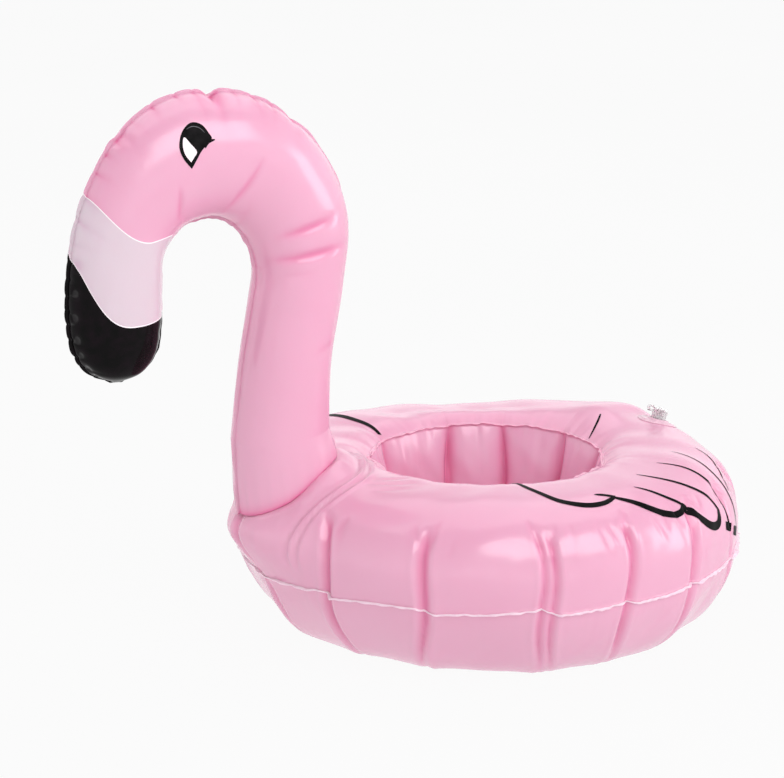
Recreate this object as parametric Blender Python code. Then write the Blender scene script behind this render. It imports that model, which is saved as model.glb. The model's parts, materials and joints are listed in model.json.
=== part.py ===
"""Inflatable flamingo drink holder: a welded film ring with a cup well, a film neck and head, a mini valve.

Every film panel is an open sheet that a Solidify modifier thickens inwards. Panels meet back to back at
narrow weld flanges, with WELD_GAP between them. The shape is worked out with the cup axis at x = 0 and is
then moved so that the origin is the middle of the underside of the float. Metres, +Z up, head towards -X.
"""

import math

import bmesh
import bpy
from mathutils import Matrix, Vector

# Film and welds
FILM = 0.0003
WELD_GAP = 0.0003
FLANGE = 0.0020

# Ring, as radii about the cup axis and heights above the ground
RING_SEAM_R = 0.1095
RING_SEAM_Z = 0.0335
RING_CROWN_R = 0.070
RING_CROWN_Z = 0.0735
RIM_R = 0.0520
RIM_Z = 0.0700
RIM_LIP = 0.0015
BASE_OUTER_R = 0.084
BASE_INNER_R = 0.060
WELL_FOOT_R = 0.0410
WELL_FLANGE = 0.0040
WELL_BULGE = 0.0025
RING_BOTTOM_WELD_Z = 0.0032
BASE_WELD_R = 0.0455
CUP_FLOOR_FILM = 0.0005
CUP_FLOOR_INSET = 0.0006
BASE_EASE = (0.0520, 0.0010)
SHOULDER_POWER = 2.7
CROWN_ROWS = (0.0575, 0.0630, RING_CROWN_R)
SHOULDER_ROWS = 7
BASE_ROWS = 6
WALL_ROWS = 5
NOSE_STRETCH = 0.217
NOSE_SHARPNESS = 24
AROUND = 48

# Neck and head, from tip to base: back edge and inner edge of the outline, and half the thickness there
HEAD_STATIONS = (
    ((-0.1750, 0.1232), (-0.1690, 0.1230), 0.0030),
    ((-0.1835, 0.1275), (-0.1605, 0.1262), 0.0085),
    ((-0.1895, 0.1370), (-0.1545, 0.1340), 0.0120),
    ((-0.1917, 0.1540), (-0.1525, 0.1460), 0.0140),
    ((-0.1895, 0.1760), (-0.1520, 0.1600), 0.0150),
    ((-0.1830, 0.1980), (-0.1510, 0.1730), 0.0160),
    ((-0.1680, 0.2220), (-0.1430, 0.1830), 0.0175),
    ((-0.1460, 0.2350), (-0.1340, 0.1860), 0.0190),
    ((-0.1200, 0.2355), (-0.1260, 0.1855), 0.0195),
    ((-0.0960, 0.2260), (-0.1180, 0.1800), 0.0195),
    ((-0.0780, 0.2070), (-0.1125, 0.1710), 0.0190),
    ((-0.0685, 0.1820), (-0.1105, 0.1600), 0.0185),
    ((-0.0700, 0.1530), (-0.1130, 0.1470), 0.0180),
    ((-0.0750, 0.1220), (-0.1180, 0.1210), 0.0175),
    ((-0.0765, 0.0940), (-0.1210, 0.0900), 0.0180),
)
STATION_STEPS = 2
ACROSS = 12
TIP_TAPER = 0.7
FOOT_FRONT_X = -0.1150
FOOT_BACK_X = -0.0740
FOOT_HALF_WIDTH = 0.0180
FOOT_RISE = 0.0040
FOOT_CLEARANCE = 0.0006
FOOT_FLANGE = 0.0025
FOOT_ROLL = 0.0005
AIRWAY_HALF_LENGTH = 0.0140
AIRWAY_HALF_WIDTH = 0.0100
AIRWAY_CUT_HEIGHTS = (0.0900, 0.0400)
AIRWAY_STEPS = 20

# Valve: radii and heights along its own axis, measured from the film that it stands on
VALVE_R = 0.0880
VALVE_FLANGE_R = 0.0090
VALVE_FLANGE_T = 0.0006
VALVE_COLLAR_R = 0.0047
VALVE_COLLAR_H = 0.0013
VALVE_COLLAR_SLOPE = 0.0006
VALVE_BORE_R = 0.00375
VALVE_FILM_HOLE_R = 0.0042
VALVE_FILM_CUT = 0.0040
STEM_R = 0.0035
STEM_BORE_R = 0.0022
STEM_TOP = 0.0050
STEM_BOTTOM = -0.0090
LUG_REACH = 0.0063
LUG_BOTTOM = 0.0040
LUG_TOP = 0.0048
LUG_HALF_WIDTH = 0.0012
LUG_OVERLAP = 0.0004
PLUG_HINGE_X = -0.0065
PLUG_HINGE_Z = 0.0050
PLUG_CAP_R = 0.0034
PLUG_CAP_T = 0.0009
PLUG_CAP_BEVEL = 0.0003
PIN_TOP_R = 0.0020
PIN_TIP_R = 0.0013
PIN_DEPTH = 0.0023
STRAP_T = 0.0006
STRAP_ROOT_Z = 0.0002
STRAP_OVERLAP = 0.0006
STRAP_BOW = ((0.0023, 0.0005), (0.0012, 0.0009), (0.0002, 0.0006), (-0.0001, 0.0))
FLAP_R = 0.0029
FLAP_T = 0.0004
FLAP_HINGE_X = -0.0033
ROUND_STEPS = 24

PINK = (0.89, 0.47, 0.64, 1.0)
CLEAR = (0.86, 0.84, 0.86, 1.0)


# ---------------------------------------------------------------- scene and materials


def clear_scene():
    for obj in list(bpy.data.objects):
        bpy.data.objects.remove(obj)


def film_material(name, colour, roughness):
    material = bpy.data.materials.new(name)
    material.use_nodes = True
    shader = material.node_tree.nodes["Principled BSDF"]
    shader.inputs["Base Color"].default_value = colour
    shader.inputs["Roughness"].default_value = roughness
    shader.inputs["Metallic"].default_value = 0.0
    material.diffuse_color = colour
    return material


def add_object(name, points, faces, colour=PINK, roughness=0.2):
    """A smooth-shaded mesh object with a material of its own."""
    mesh = bpy.data.meshes.new(name)
    mesh.from_pydata([tuple(p) for p in points], [], faces)
    mesh.shade_smooth()
    mesh.set_sharp_from_angle(angle=math.radians(40))
    mesh.materials.append(film_material(name, colour, roughness))
    obj = bpy.data.objects.new(name, mesh)
    bpy.context.scene.collection.objects.link(obj)
    return obj


def sheet_faces(rows, columns, wrap):
    """Quads of a grid whose normals point along (row direction) x (column direction)."""
    last = columns if wrap else columns - 1
    faces = []
    for i in range(rows - 1):
        for j in range(last):
            k = (j + 1) % columns
            faces.append((i * columns + j, (i + 1) * columns + j, (i + 1) * columns + k, i * columns + k))
    return faces


def thicken(obj, thickness):
    """Gives an open sheet its film thickness, on the side that its normals point away from."""
    solid = obj.modifiers.new("film", "SOLIDIFY")
    solid.thickness = thickness
    solid.offset = -1.0
    solid.use_even_offset = True
    solid.use_rim = True


def cut(obj, cutter, name):
    cutter.hide_render = True
    cutter.display_type = "WIRE"
    hole = obj.modifiers.new(name, "BOOLEAN")
    hole.operation = "DIFFERENCE"
    hole.solver = "EXACT"
    hole.object = cutter


# ---------------------------------------------------------------- ring surface


def nose_stretch(angle):
    """How much further from the rim the ring reaches at this angle: it swells under the neck's foot."""
    return NOSE_STRETCH * max(0.0, -math.cos(angle)) ** NOSE_SHARPNESS


def ring_point(radius, height, angle):
    """The point of a profile radius and height at this angle about the cup axis."""
    reach = radius + nose_stretch(angle) * max(0.0, radius - RIM_R)
    return Vector((reach * math.cos(angle), reach * math.sin(angle), height))


def profile_top(radius):
    """Height of the ring's upper skin at a profile radius."""
    if radius <= RING_CROWN_R:
        share = (RING_CROWN_R - radius) / (RING_CROWN_R - RIM_R)
        return RING_CROWN_Z - (RING_CROWN_Z - RIM_Z) * share**2
    share = min(1.0, (radius - RING_CROWN_R) / (RING_SEAM_R - RING_CROWN_R))
    return RING_SEAM_Z + (RING_CROWN_Z - RING_SEAM_Z) * (1 - share**SHOULDER_POWER) ** (1 / SHOULDER_POWER)


def ring_top_at(x, y):
    """Height of the ring's upper skin above a point of the ground."""
    stretch = nose_stretch(math.atan2(y, x))
    radius = (math.hypot(x, y) + stretch * RIM_R) / (1 + stretch)
    return profile_top(radius)


def turned_sheet(name, profile):
    """A sheet turned about the cup axis from (radius, height) pairs."""
    angles = [2 * math.pi * j / AROUND for j in range(AROUND)]
    points = [ring_point(r, z, a) for r, z in profile for a in angles]
    return add_object(name, points, sheet_faces(len(profile), AROUND, True))


def ring_top_panel():
    rim_r = RIM_R + WELD_GAP / 2 + FILM
    seam_z = RING_SEAM_Z + WELD_GAP / 2 + FILM
    profile = [(rim_r, RIM_Z + RIM_LIP), (rim_r, RIM_Z)]
    profile += [(r, profile_top(r)) for r in CROWN_ROWS]
    span = RING_SEAM_R - RING_CROWN_R
    for step in range(1, SHOULDER_ROWS):
        share = math.sin(step / SHOULDER_ROWS * math.pi / 2) ** (2 / SHOULDER_POWER)
        radius = RING_CROWN_R + span * share
        profile.append((radius, profile_top(radius)))
    profile += [(RING_SEAM_R, seam_z), (RING_SEAM_R + FLANGE, seam_z)]
    return turned_sheet("ring_top_panel", profile)


def ring_bottom_panel():
    seam_z = RING_SEAM_Z - WELD_GAP / 2 - FILM
    span = RING_SEAM_R - BASE_OUTER_R
    profile = [(RING_SEAM_R + FLANGE, seam_z), (RING_SEAM_R, seam_z)]
    for step in range(1, BASE_ROWS):
        turn = step / BASE_ROWS * math.pi / 2
        profile.append((BASE_OUTER_R + span * math.cos(turn), seam_z * (1 - math.sin(turn))))
    profile += [(BASE_OUTER_R, 0.0), (BASE_INNER_R, 0.0), BASE_EASE]
    profile += [(BASE_WELD_R, RING_BOTTOM_WELD_Z), (WELL_FOOT_R - WELL_FLANGE, RING_BOTTOM_WELD_Z)]
    return turned_sheet("ring_bottom_panel", profile)


def wall_foot_z():
    """Height of the upper face of the wall's foot flange, which lies on the lower panel's edge."""
    return RING_BOTTOM_WELD_Z + FILM + WELD_GAP + FILM


def cup_wall():
    foot_z = wall_foot_z()
    rim_r = RIM_R - WELD_GAP / 2 - FILM
    profile = [(WELL_FOOT_R - WELL_FLANGE, foot_z), (WELL_FOOT_R, foot_z)]
    for step in range(1, WALL_ROWS):
        share = step / WALL_ROWS
        bulge = WELL_BULGE * math.sin(math.pi * share)
        radius = WELL_FOOT_R + (rim_r - WELL_FOOT_R) * share - bulge
        profile.append((radius, foot_z + (RIM_Z - foot_z) * share))
    profile += [(rim_r, RIM_Z), (rim_r, RIM_Z + RIM_LIP)]
    return turned_sheet("cup_wall", profile)


def turned_solid(name, profile, steps=ROUND_STEPS, place=None, colour=CLEAR):
    """A closed (radius, height) outline turned about an axis. place maps a local point to its position."""
    place = place or (lambda point: point)
    points = []
    for radius, height in profile:
        for j in range(steps):
            angle = 2 * math.pi * j / steps
            points.append(place(Vector((radius * math.cos(angle), radius * math.sin(angle), height))))
    rows = len(profile)
    faces = sheet_faces(rows, steps, True)
    for j in range(steps):
        k = (j + 1) % steps
        faces.append(((rows - 1) * steps + j, j, k, (rows - 1) * steps + k))
    return add_object(name, points, faces, colour)


def capped_solid(name, profile, steps=ROUND_STEPS, colour=CLEAR):
    """A (radius, height) line turned about the local axis and closed by a flat cap at each end."""
    points = []
    for radius, height in profile:
        for j in range(steps):
            angle = 2 * math.pi * j / steps
            points.append((radius * math.cos(angle), radius * math.sin(angle), height))
    faces = sheet_faces(len(profile), steps, True)
    faces.append(tuple(range(steps)))
    faces.append(tuple(reversed(range((len(profile) - 1) * steps, len(profile) * steps))))
    return add_object(name, points, faces, colour)


def cup_floor():
    """The disc that a drink stands on, welded onto the foot flange of the wall."""
    low = wall_foot_z() + WELD_GAP
    radius = WELL_FOOT_R - CUP_FLOOR_INSET
    return capped_solid("cup_floor", [(radius, low + CUP_FLOOR_FILM), (radius, low)], AROUND, PINK)


# ---------------------------------------------------------------- neck and head


def smooth_through(values, steps):
    """Points of a Catmull-Rom curve through values, with `steps` intervals between neighbours."""
    out = []
    for i in range(len(values) - 1):
        before = values[max(i - 1, 0)]
        start, end = values[i], values[i + 1]
        after = values[min(i + 2, len(values) - 1)]
        for step in range(steps):
            t = step / steps
            out.append(
                0.5
                * (
                    2 * start
                    + (end - before) * t
                    + (2 * before - 5 * start + 4 * end - after) * t**2
                    + (3 * start - before - 3 * end + after) * t**3
                )
            )
    out.append(values[-1])
    return out


def section_rows():
    """Back edge, inner edge and half thickness of each cross-section, from beak tip to neck foot."""
    back = smooth_through([Vector((b[0], b[1])) for b, _, _ in HEAD_STATIONS], STATION_STEPS)
    inner = smooth_through([Vector((i[0], i[1])) for _, i, _ in HEAD_STATIONS], STATION_STEPS)
    half = smooth_through([h for _, _, h in HEAD_STATIONS], STATION_STEPS)
    return list(zip(back, inner, half))


def neck_section(back, inner, half):
    """One row across half of the neck, from flange to flange, on the +Y side."""
    seam_y = WELD_GAP / 2 + FILM
    middle = (back + inner) / 2
    side = (back - inner) / 2
    outward = side.normalized() * FLANGE
    row = [Vector((back.x + outward.x, seam_y, back.y + outward.y))]
    for j in range(ACROSS + 1):
        turn = math.pi * j / ACROSS
        spot = middle + side * math.cos(turn)
        row.append(Vector((spot.x, seam_y + half * math.sin(turn), spot.y)))
    row.append(Vector((inner.x - outward.x, seam_y, inner.y - outward.y)))
    return row


def tip_flange_row(row):
    """The weld flange beyond the beak's tip, straight below its last section and a little narrower."""
    seam_y = WELD_GAP / 2 + FILM
    middle_x = (row[0].x + row[-1].x) / 2
    return [Vector((middle_x + (p.x - middle_x) * TIP_TAPER, seam_y, p.z - FLANGE)) for p in row]


def foot_rows():
    """The neck's foot: above the ring, on it, and the weld flange round it. Flange columns end each row."""
    seam_y = WELD_GAP / 2 + FILM
    middle_x = (FOOT_FRONT_X + FOOT_BACK_X) / 2
    half_length = (FOOT_BACK_X - FOOT_FRONT_X) / 2
    rows = []
    for grow, rise in ((0.0, FOOT_RISE), (FOOT_ROLL, 0.0), (FOOT_FLANGE, 0.0)):
        row = []
        for j in range(ACROSS + 1):
            turn = math.pi * j / ACROSS
            x = middle_x + (half_length + grow) * math.cos(turn)
            y = seam_y + (FOOT_HALF_WIDTH + grow) * math.sin(turn)
            row.append(Vector((x, y, ring_top_at(x, y) + FOOT_CLEARANCE + FILM + rise)))
        back = Vector((row[0].x + FLANGE, seam_y, 0.0))
        front = Vector((row[-1].x - FLANGE, seam_y, 0.0))
        for edge in (back, front):
            edge.z = ring_top_at(edge.x, edge.y) + FOOT_CLEARANCE + FILM + rise
        rows.append([back] + row + [front])
    return rows


def neck_panel(name, side):
    """One half of the neck and head. side is +1 for the float's right and -1 for its left."""
    rows = [neck_section(*section) for section in section_rows()]
    rows = [tip_flange_row(rows[0])] + rows + foot_rows()
    columns = len(rows[0])
    points = [Vector((p.x, side * p.y, p.z)) for row in rows for p in row]
    faces = sheet_faces(len(rows), columns, False)
    if side > 0:
        faces = [tuple(reversed(face)) for face in faces]
    return add_object(name, points, faces)


def airway_cutter():
    """The opening in the ring's upper skin that lets the neck share its air."""
    middle_x = (FOOT_FRONT_X + FOOT_BACK_X) / 2
    steps = AIRWAY_STEPS
    points = []
    for height in AIRWAY_CUT_HEIGHTS:
        for j in range(steps):
            turn = 2 * math.pi * j / steps
            x = middle_x + AIRWAY_HALF_LENGTH * math.cos(turn)
            points.append((x, AIRWAY_HALF_WIDTH * math.sin(turn), height))
    faces = sheet_faces(2, steps, True)
    faces += [tuple(range(steps)), tuple(reversed(range(steps, 2 * steps)))]
    return add_object("airway_cutter", points, faces)


# ---------------------------------------------------------------- valve


def valve_frame():
    """The valve's own frame: +Z out of the film, +X away from the cup."""
    step = 0.001
    slope = (profile_top(VALVE_R + step) - profile_top(VALVE_R - step)) / (2 * step)
    place = Vector((VALVE_R, 0.0, profile_top(VALVE_R)))
    return Matrix.Translation(place) @ Matrix.Rotation(math.atan(-slope), 4, "Y")


def valve_flange(frame):
    """A welded patch that follows the film, with the collar that guides the stem."""
    low = WELD_GAP
    top = low + VALVE_FLANGE_T
    profile = [
        (VALVE_BORE_R, low),
        (VALVE_BORE_R, VALVE_COLLAR_H),
        (VALVE_COLLAR_R, VALVE_COLLAR_H),
        (VALVE_COLLAR_R + VALVE_COLLAR_SLOPE, top),
        (VALVE_FLANGE_R, top),
        (VALVE_FLANGE_R, low),
    ]

    def on_film(point):
        level = frame @ Vector((point.x, point.y, 0.0))
        surface = Vector((level.x, level.y, ring_top_at(level.x, level.y)))
        return surface + (frame.to_3x3() @ Vector((0, 0, 1))) * point.z

    return turned_solid("valve_flange", profile, place=on_film)


def film_hole_cutter(frame):
    outline = [(VALVE_FILM_HOLE_R, VALVE_FILM_CUT), (VALVE_FILM_HOLE_R, -VALVE_FILM_CUT)]
    cutter = capped_solid("film_hole_cutter", outline)
    cutter.matrix_world = frame
    return cutter


def box_points(low, high):
    return [(x, y, z) for x in (low[0], high[0]) for y in (low[1], high[1]) for z in (low[2], high[2])]


BOX_FACES = [(0, 1, 3, 2), (4, 6, 7, 5), (0, 4, 5, 1), (2, 3, 7, 6), (0, 2, 6, 4), (1, 5, 7, 3)]


def join(obj, other, name):
    """Makes other part of obj with a Boolean union."""
    other.hide_render = True
    other.display_type = "WIRE"
    union = obj.modifiers.new(name, "BOOLEAN")
    union.operation = "UNION"
    union.solver = "EXACT"
    union.object = other


def valve_stem(frame):
    """The soft tube that is blown into, with the lug that the plug's strap grows from."""
    profile = [(STEM_BORE_R, STEM_BOTTOM), (STEM_BORE_R, STEM_TOP), (STEM_R, STEM_TOP), (STEM_R, STEM_BOTTOM)]
    stem = turned_solid("valve_stem", profile)
    low = (-LUG_REACH, -LUG_HALF_WIDTH, LUG_BOTTOM)
    high = (-STEM_R + LUG_OVERLAP, LUG_HALF_WIDTH, LUG_TOP)
    lug = add_object("lug_shape", box_points(low, high), BOX_FACES, CLEAR)
    join(stem, lug, "lug")
    stem.matrix_world = frame
    lug.matrix_world = frame
    return stem


def strap_solid():
    """The strap of the plug: a bowed strip from the cap's edge to its root, relative to the hinge."""
    reach = -PLUG_HINGE_X
    cap_z = STEM_TOP + WELD_GAP - PLUG_HINGE_Z + PLUG_CAP_T / 2
    line = [Vector((reach - PLUG_CAP_R + STRAP_OVERLAP, cap_z))]
    line += [Vector((out, cap_z + rise)) for out, rise in STRAP_BOW]
    line.append(Vector((0.0, STRAP_ROOT_Z)))
    path = smooth_through(line, 2)
    points = []
    for i, spot in enumerate(path):
        along = (path[min(i + 1, len(path) - 1)] - path[max(i - 1, 0)]).normalized()
        across = Vector((-along.y, along.x)) * STRAP_T / 2
        for y in (-LUG_HALF_WIDTH, LUG_HALF_WIDTH):
            for edge in (spot - across, spot + across):
                points.append((edge.x, y, edge.y))
    faces = [(0, 2, 3, 1)]
    for i in range(len(path) - 1):
        a, b = 4 * i, 4 * i + 4
        for p, q in ((0, 1), (1, 3), (3, 2), (2, 0)):
            faces.append((a + p, a + q, b + q, b + p))
    last = 4 * (len(path) - 1)
    faces.append((last, last + 1, last + 3, last + 2))
    return add_object("strap_shape", points, faces, CLEAR)


def valve_plug(frame):
    """The tapered stopper with its cap and strap. Its origin is on the hinge line of the strap."""
    shift = Vector((-PLUG_HINGE_X, 0.0, -PLUG_HINGE_Z))
    cap_low = STEM_TOP + WELD_GAP
    profile = [
        (PLUG_CAP_R - PLUG_CAP_BEVEL, cap_low + PLUG_CAP_T),
        (PLUG_CAP_R, cap_low + PLUG_CAP_T - PLUG_CAP_BEVEL),
        (PLUG_CAP_R, cap_low),
        (PIN_TOP_R, cap_low),
        (PIN_TIP_R, STEM_TOP - PIN_DEPTH),
    ]
    plug = capped_solid("valve_plug", profile)
    plug.data.transform(Matrix.Translation(shift))
    strap = strap_solid()
    join(plug, strap, "strap")
    hinge = frame @ Matrix.Translation(Vector((PLUG_HINGE_X, 0.0, PLUG_HINGE_Z)))
    plug.matrix_world = hinge
    strap.matrix_world = hinge
    return plug


def valve_check_flap(frame):
    """The disc under the stem that the air inside presses shut. Its origin is on its hinge line."""
    top = STEM_BOTTOM - WELD_GAP
    flap = capped_solid("valve_check_flap", [(FLAP_R, 0.0), (FLAP_R, -FLAP_T)])
    flap.data.transform(Matrix.Translation(Vector((-FLAP_HINGE_X, 0.0, 0.0))))
    flap.matrix_world = frame @ Matrix.Translation(Vector((FLAP_HINGE_X, 0.0, top)))
    return flap


# ---------------------------------------------------------------- assembly


def build_float():
    frame = valve_frame()
    top = ring_top_panel()
    thicken(top, FILM)
    cutters = [airway_cutter(), film_hole_cutter(frame)]
    for cutter in cutters:
        cut(top, cutter, cutter.name)
    films = [ring_bottom_panel(), cup_wall()]
    films += [neck_panel("neck_left_panel", -1), neck_panel("neck_right_panel", 1)]
    for film in films:
        thicken(film, FILM)
    cup_floor()
    valve_flange(frame)
    valve_stem(frame)
    valve_plug(frame)
    valve_check_flap(frame)


def move_origin_under_middle():
    """Shifts everything along X so that the origin is under the middle of the float's length."""
    front = min(p.x for section in section_rows() for p in neck_section(*section))
    back = RING_SEAM_R + FLANGE
    shift = Matrix.Translation(Vector((-(front + back) / 2, 0.0, 0.0)))
    bpy.context.view_layer.update()
    for obj in bpy.data.objects:
        obj.matrix_world = shift @ obj.matrix_world


clear_scene()
build_float()
move_origin_under_middle()
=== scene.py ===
"""Looks of the inflatable flamingo drink holder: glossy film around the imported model. Metres, +Z up."""

import math

import bmesh
import bpy
import json
import numpy as np
from mathutils import Matrix, Vector
from mathutils.bvhtree import BVHTree


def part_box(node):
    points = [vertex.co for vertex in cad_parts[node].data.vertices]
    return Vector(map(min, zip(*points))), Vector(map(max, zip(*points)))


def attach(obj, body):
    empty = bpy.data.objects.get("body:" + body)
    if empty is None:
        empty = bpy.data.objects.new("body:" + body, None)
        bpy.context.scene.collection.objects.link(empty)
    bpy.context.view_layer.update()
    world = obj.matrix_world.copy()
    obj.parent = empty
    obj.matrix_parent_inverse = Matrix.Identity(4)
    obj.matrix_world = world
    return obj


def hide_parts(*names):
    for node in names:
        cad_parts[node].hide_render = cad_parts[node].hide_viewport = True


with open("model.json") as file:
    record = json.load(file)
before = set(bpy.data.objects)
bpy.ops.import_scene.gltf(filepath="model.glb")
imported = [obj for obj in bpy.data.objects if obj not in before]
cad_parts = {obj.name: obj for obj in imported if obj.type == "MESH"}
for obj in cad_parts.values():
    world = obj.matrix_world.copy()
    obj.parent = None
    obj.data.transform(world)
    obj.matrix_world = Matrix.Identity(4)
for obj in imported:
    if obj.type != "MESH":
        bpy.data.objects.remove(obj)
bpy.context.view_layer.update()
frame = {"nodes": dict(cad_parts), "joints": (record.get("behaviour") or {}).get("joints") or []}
MM = 0.001

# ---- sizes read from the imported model

FLOOR_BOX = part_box("cup_floor")
TOP_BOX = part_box("ring_top_panel")
WALL_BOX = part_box("cup_wall")
STEM_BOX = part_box("valve_stem")
CUP_X = (FLOOR_BOX[0].x + FLOOR_BOX[1].x) / 2
VALVE_X = (STEM_BOX[0].x + STEM_BOX[1].x) / 2 - CUP_X
VALVE_Y = (STEM_BOX[0].y + STEM_BOX[1].y) / 2
FLANGE = 2.0 * MM
LIP = 1.5 * MM
SEAM_R = TOP_BOX[1].y - FLANGE
SEAM_Z = TOP_BOX[0].z
CROWN_Z = TOP_BOX[1].z
RIM_R = WALL_BOX[1].y
FLOOR_R = (FLOOR_BOX[1].x - FLOOR_BOX[0].x) / 2
FLOOR_Z = FLOOR_BOX[1].z

# ---- shape of the film

CROWN_R = 70 * MM
SHOULDER_POWER = 2.7
RIM_DROP = 5.6 * MM
RIM_POWER = 3.6
BASE_OUTER_R = 86 * MM
BASE_INNER_R = 60 * MM
BASE_POWER = 1.65
NOSE_STRETCH = 0.265
NOSE_SHARPNESS = 34
CROWN_LIFT = 4.0 * MM
FRONT_TUCK = 0.035
RING_STEPS = 720
FILM = 0.25 * MM
FLOOR_FILM = 0.4 * MM
WELD_GAP = 0.15 * MM
# Undulations: how many sines, their lengths as multiples of the size asked for, and what brings them to +-1
WAVE_COUNT = 7
WAVE_LENGTHS = (1.4, 3.2)
WAVE_PEAK = 3.4
# Where, along the film from the rim, the folds begin and where the ring's flank does
FOLDS_BEGIN = (49 * MM, 58 * MM)
FLANK_BEGIN = (48 * MM, 66 * MM)
# The same beyond the outer seam: where the folds fade, and where the underside turns flat
FOLDS_FADE = (14 * MM, 40 * MM)
UNDERSIDE = (52 * MM, 75 * MM)
# The crown's high and low places, as centre and half width in degrees, and the film where it rises and falls
CROWN_HIGH = (14, 13)
CROWN_LOW = (72, 28)
CROWN_RISE = (4 * MM, 20 * MM)
CROWN_FALL = (40 * MM, 66 * MM)
CLEAR_OF_VALVE = 15 * MM
# The share of a fold's depth that is cut, its lips' height as a share of it, and how far its slant carries it
FOLD_SCALE = 0.62
FOLD_LIP = 0.20
FOLD_DRIFT = 2.2
# The depth at which the film has its full painted crease shade
FULL_CREASE = 2.2 * MM

# Buckles of the ring's outside: angle in degrees, depth, half width and the gap of a double fold in mm, slant
OUTER_FOLDS = (
    (-178.0, 2.4, 1.5, 0.0, 2),
    (-157.5, 3.8, 1.6, 0.0, 1),
    (-134.0, 3.9, 1.9, 0.0, -2),
    (-106.5, 3.9, 1.3, 2.3, 1),
    (-87.5, 3.4, 1.5, 0.0, -1),
    (-68.0, 3.0, 1.6, 0.0, -2),
    (-48.0, 2.6, 1.4, 0.0, 1),
    (-30.0, 3.0, 1.5, 0.0, 1),
    (-9.0, 3.4, 1.6, 1.8, 2),
    (14.0, 3.6, 1.6, 0.0, -2),
    (37.0, 3.0, 1.5, 0.0, 1),
    (60.0, 3.8, 1.7, 2.0, 0),
    (84.0, 3.4, 1.6, 0.0, 2),
    (108.0, 3.6, 1.5, 0.0, -1),
    (132.0, 3.9, 1.8, 0.0, 2),
    (156.0, 3.4, 1.5, 1.6, -1),
)
# Pleats of the well's wall: angle in degrees, depth and half width in mm
WALL_PLEATS = (
    (-172.0, 2.6, 1.8),
    (-142.0, 3.0, 1.9),
    (-112.0, 2.8, 1.7),
    (-80.0, 3.2, 1.9),
    (-47.0, 2.6, 1.6),
    (-14.5, 2.8, 1.6),
    (19.5, 3.4, 2.0),
    (52.0, 3.6, 1.8),
    (80.5, 3.8, 2.0),
    (124.5, 3.4, 2.0),
    (156.0, 3.0, 1.8),
)

# Neck and head about the cup axis, tip to base: back edge, inner edge and half thickness, in mm
HEAD_STATIONS = (
    ((-175.0, 123.2), (-169.0, 123.0), 3.0),
    ((-183.5, 127.5), (-160.5, 126.2), 8.5),
    ((-189.5, 137.0), (-154.5, 134.0), 12.0),
    ((-191.7, 154.0), (-152.5, 146.0), 14.0),
    ((-189.5, 176.0), (-152.0, 160.0), 15.0),
    ((-183.0, 198.0), (-151.0, 173.0), 16.0),
    ((-168.0, 222.0), (-143.0, 183.0), 17.5),
    ((-146.0, 235.0), (-134.0, 186.0), 19.0),
    ((-120.0, 235.5), (-126.0, 185.5), 19.5),
    ((-97.0, 225.5), (-118.0, 180.5), 19.5),
    ((-79.0, 206.5), (-112.0, 171.5), 19.0),
    ((-69.5, 182.0), (-109.7, 160.0), 18.5),
    ((-71.8, 153.0), (-111.8, 147.0), 18.0),
    ((-77.2, 122.0), (-116.6, 121.0), 17.5),
    ((-78.6, 94.0), (-120.4, 90.0), 18.0),
)
# Rows to each stretch between stations, columns from back to inner edge, and rows of the foot
STATION_STEPS = 26
ACROSS = 46
FOOT_STEPS = 34
# The weld round the neck's foot, an ellipse, and how many mm the ring's film is drawn up behind it
FOOT_FRONT = -118.3 * MM
FOOT_BACK = -75.0 * MM
FOOT_MIDDLE = (FOOT_FRONT + FOOT_BACK) / 2
FOOT_REACH = (FOOT_BACK - FOOT_FRONT) / 2
FOOT_HALF = 18.8 * MM
FOOT_PULL = 7.5
# Rings of relief on the film round the neck's foot: height, distance and half width in mm, and sharpness
FOOT_RINGS = (
    (-1.1, 10.0, 1.0, 1.3),
    (1.0, 12.2, 1.0, 1.6),
    (-0.8, 14.2, 0.8, 1.3),
    (0.8, 16.0, 1.1, 1.6),
)


def smoothstep(low, high, x):
    t = np.clip((x - low) / (high - low), 0, 1)
    return t * t * (3 - 2 * t)


def bell(x, power=2):
    """1 where x is 0, falling off on both sides."""
    return np.exp(-(np.abs(x) ** power))


def through(values, steps):
    """Points of a Catmull-Rom curve through values, `steps` to each stretch, as an array."""
    values = np.asarray(values, float)
    padded = np.concatenate([values[:1], values, values[-1:]])
    t = np.arange(steps)[:, None] / steps
    out = []
    for i in range(len(values) - 1):
        before, start, end, after = padded[i : i + 4]
        a = 2 * start + (end - before) * t
        b = (2 * before - 5 * start + 4 * end - after) * t**2
        c = (3 * start - before - 3 * end + after) * t**3
        out.append((a + b + c) / 2)
    return np.concatenate(out + [values[-1:]])


def lengths_along(points):
    steps = np.linalg.norm(np.diff(points, axis=0), axis=1)
    return np.concatenate([[0], np.cumsum(steps)])


def units(vectors):
    """The vectors brought to length 1."""
    return vectors / np.maximum(np.linalg.norm(vectors, axis=-1, keepdims=True), 1e-9)


def waves(x, y, size, seed):
    """Smooth irregular undulation between about -1 and 1, with bumps about `size` across."""
    rng = np.random.RandomState(seed)
    total = np.zeros(np.broadcast(x, y).shape)
    for _ in range(WAVE_COUNT):
        turn = rng.uniform(0, 2 * math.pi)
        pitch = 2 * math.pi / (size * rng.uniform(*WAVE_LENGTHS))
        total += np.sin((x * math.cos(turn) + y * math.sin(turn)) * pitch + rng.uniform(0, 6.28))
    return total / WAVE_PEAK


def ripple(angle, radius, height, size, seed):
    """The same undulation round the ring, where it meets itself. It changes with height as well."""
    turn = np.radians(angle)
    return waves(radius * np.cos(turn) + 0.8 * height, radius * np.sin(turn) - 0.6 * height, size, seed)


# ---- the ring's skin


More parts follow.
